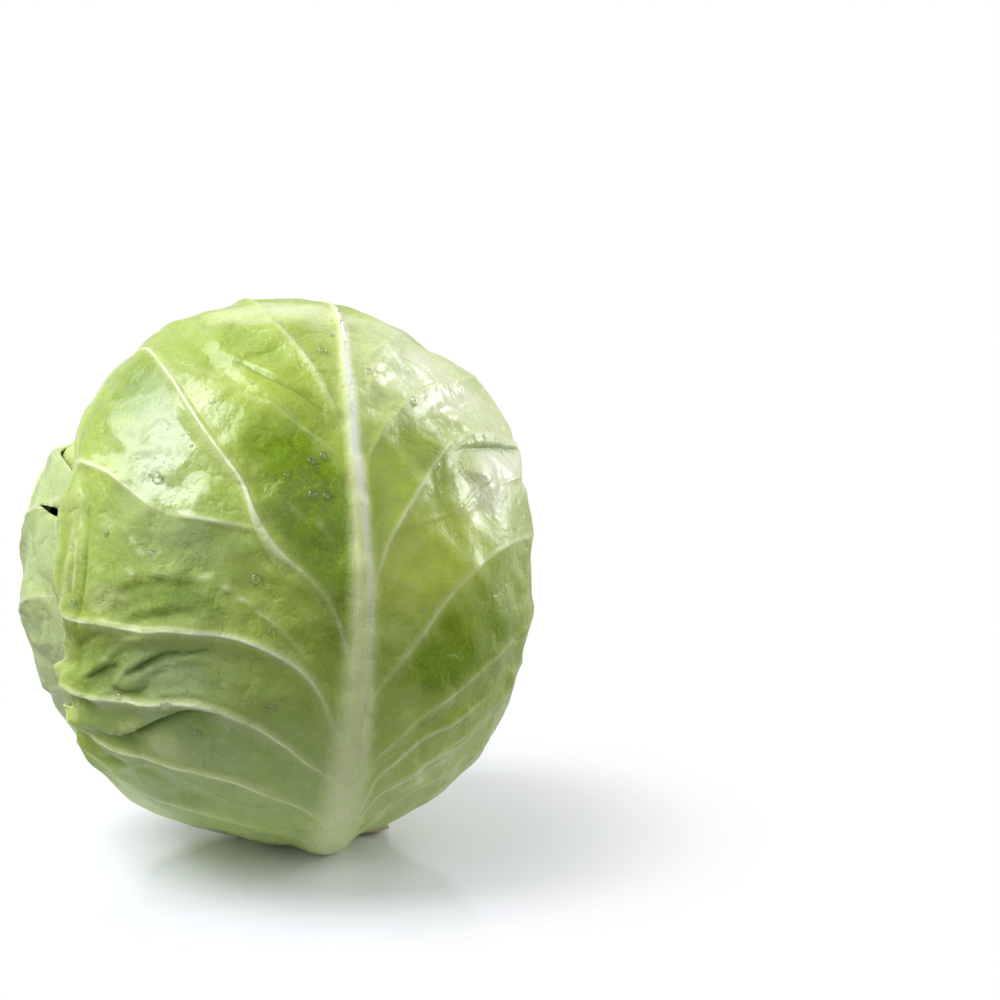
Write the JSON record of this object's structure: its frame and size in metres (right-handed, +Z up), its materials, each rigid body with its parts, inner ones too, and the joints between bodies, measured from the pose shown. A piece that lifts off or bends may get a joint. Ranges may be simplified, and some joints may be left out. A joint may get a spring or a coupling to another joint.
{
  "type": "cabbage head",
  "caption": "Round white cabbage head: veined wrapper leaves folded one under the next round a dense heart, standing on its short cut stem.",
  "frame": {"origin": "centre of the cut stem face that the head stands on", "axes": "+Z up from the cut stem to the top of the head, -Y towards the front leaf's midrib, +X to the right seen from the front"},
  "size_m": [0.1607, 0.1634, 0.1706],
  "materials": {
    "stem": "moist cut stalk, pale cream green",
    "heart": "satin waxy inner leaf, pale yellow green",
    "front_leaf": "waxy leaf with a soft gloss, light yellow green with darker green patches and pale veins",
    "back_leaf": "waxy leaf with a soft gloss, light green with pale veins",
    "left_leaf": "waxy leaf with a soft gloss, pale green with pale veins",
    "right_leaf": "waxy leaf with a soft gloss, light green with pale veins",
    "under_leaf": "waxy leaf with a soft gloss, pale yellow green with pale veins"
  },
  "bodies": {
    "root": {"stem": "stem", "heart": "heart", "wrapper_leaf_1": "front_leaf", "wrapper_leaf_2": "back_leaf", "wrapper_leaf_3": "left_leaf", "wrapper_leaf_4": "right_leaf", "wrapper_leaf_5": "under_leaf"}
  },
  "joints": []
}
